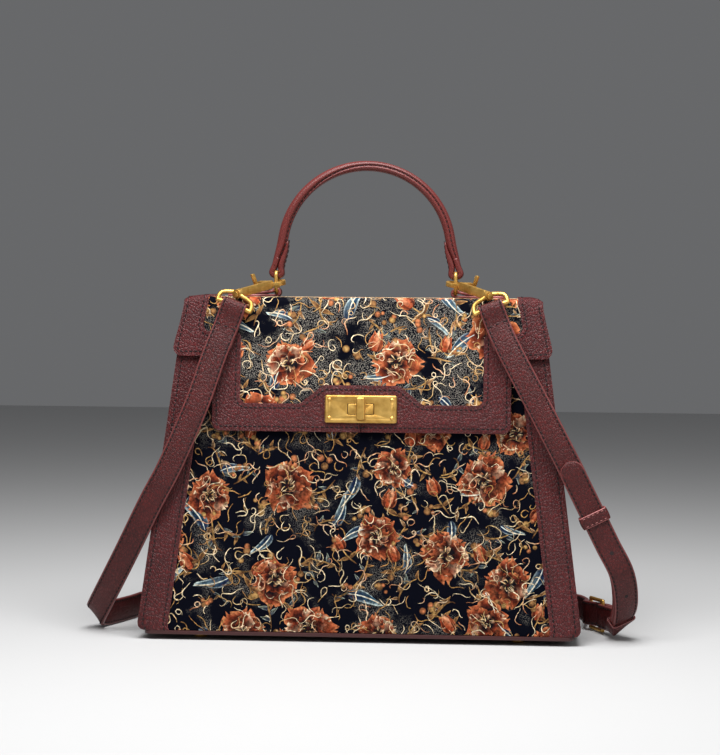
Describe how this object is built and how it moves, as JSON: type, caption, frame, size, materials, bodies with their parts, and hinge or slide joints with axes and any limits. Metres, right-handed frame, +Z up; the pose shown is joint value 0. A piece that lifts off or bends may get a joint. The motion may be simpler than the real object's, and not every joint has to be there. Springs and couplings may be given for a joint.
{
  "type": "flap handbag with shoulder strap",
  "caption": "Structured trapezoid flap bag with a rolled top handle, turn lock, printed panels, leather trim and a clip-on shoulder strap that lies round its base.",
  "frame": {"origin": "on the floor under the middle of the bag, strap and hooks left out", "axes": "+Z up, the front with the lock faces -Y, +X to the viewer's right"},
  "size_m": [0.4071, 0.1648, 0.3486],
  "materials": {
    "leather": "pebbled",
    "base_leather": "smooth edge",
    "print": "printed",
    "lining": "matte",
    "board": "matte",
    "brass": "brushed"
  },
  "bodies": {
    "bag": {"front_panel": "print", "back_panel": "print", "left_gusset": "leather", "right_gusset": "leather", "base_panel": "base_leather", "base_board": "board", "lining": "lining", "left_front_strip": "leather", "right_front_strip": "leather", "left_back_strip": "leather", "right_back_strip": "leather", "feet": "brass", "flap_panel": "print", "left_flap_border": "leather", "right_flap_border": "leather", "lock_plate": "brass", "lock_backing": "brass", "lock_rivets": "brass", "lock_base": "brass", "left_tab": "leather", "right_tab": "leather", "left_hook_eye": "brass", "right_hook_eye": "brass", "strap_long": "leather", "strap_short": "leather", "buckle_frame": "brass", "buckle_prong": "brass", "lower_keeper": "leather"},
    "knob": {"turn_knob": "brass"},
    "ring_left": {"left_ring": "brass"},
    "ring_right": {"right_ring": "brass"},
    "handle": {"handle": "leather"},
    "hook_left": {"left_hook_body": "brass"},
    "hook_right": {"right_hook_body": "brass"},
    "gate_left": {"left_hook_gate": "brass"},
    "gate_right": {"right_hook_gate": "brass"},
    "keeper": {"upper_keeper": "leather"}
  },
  "joints": [
    {"name": "lock_turn", "type": "hinge", "parent": "bag", "child": "knob", "pos_m": [0, -0.04557, 0.16631], "axis": [0, -0.9927, 0.1207], "range_deg": [0, 90]},
    {"name": "left_ring_rock", "type": "hinge", "parent": "bag", "child": "ring_left", "pos_m": [-0.0665, 0, 0.2508], "axis": [0, 1, 0], "range_deg": [-8, 8]},
    {"name": "right_ring_rock", "type": "hinge", "parent": "bag", "child": "ring_right", "pos_m": [0.0665, 0, 0.2508], "axis": [0, 1, 0], "range_deg": [-8, 8]},
    {"name": "handle_sway", "type": "hinge", "parent": "ring_left", "child": "handle", "pos_m": [-0.0665, 0, 0.2656], "axis": [0, 1, 0], "range_deg": [-8, 8]},
    {"name": "left_hook_swivel", "type": "hinge", "parent": "bag", "child": "hook_left", "pos_m": [-0.0905, -0.0435, 0.2495], "axis": [0.5506, 0.8144, 0.1835], "range_deg": [-8, 8]},
    {"name": "right_hook_swivel", "type": "hinge", "parent": "bag", "child": "hook_right", "pos_m": [0.0905, -0.0435, 0.2495], "axis": [-0.5506, 0.8144, 0.1835], "range_deg": [-8, 8]},
    {"name": "left_gate", "type": "hinge", "parent": "hook_left", "child": "gate_left", "pos_m": [-0.07698, -0.01278, 0.25566], "axis": [0.1028, 0.152, -0.983], "range_deg": [0, 14], "stiffness_Nm_per_rad": 0.02, "springref_deg": -11.46},
    {"name": "right_gate", "type": "hinge", "parent": "hook_right", "child": "gate_right", "pos_m": [0.07698, -0.01278, 0.25566], "axis": [0.1028, -0.152, 0.983], "range_deg": [0, 14], "stiffness_Nm_per_rad": 0.02, "springref_deg": -11.46},
    {"name": "keeper_slide", "type": "slide", "parent": "bag", "child": "keeper", "axis": [-0.4468, -0.0447, 0.8935], "range_m": [-0.012, 0.012]}
  ],
  "couplings": [
    {"joint": "right_ring_rock", "follows": "left_ring_rock", "ratio": 1},
    {"joint": "handle_sway", "follows": "left_ring_rock", "ratio": -1}
  ]
}
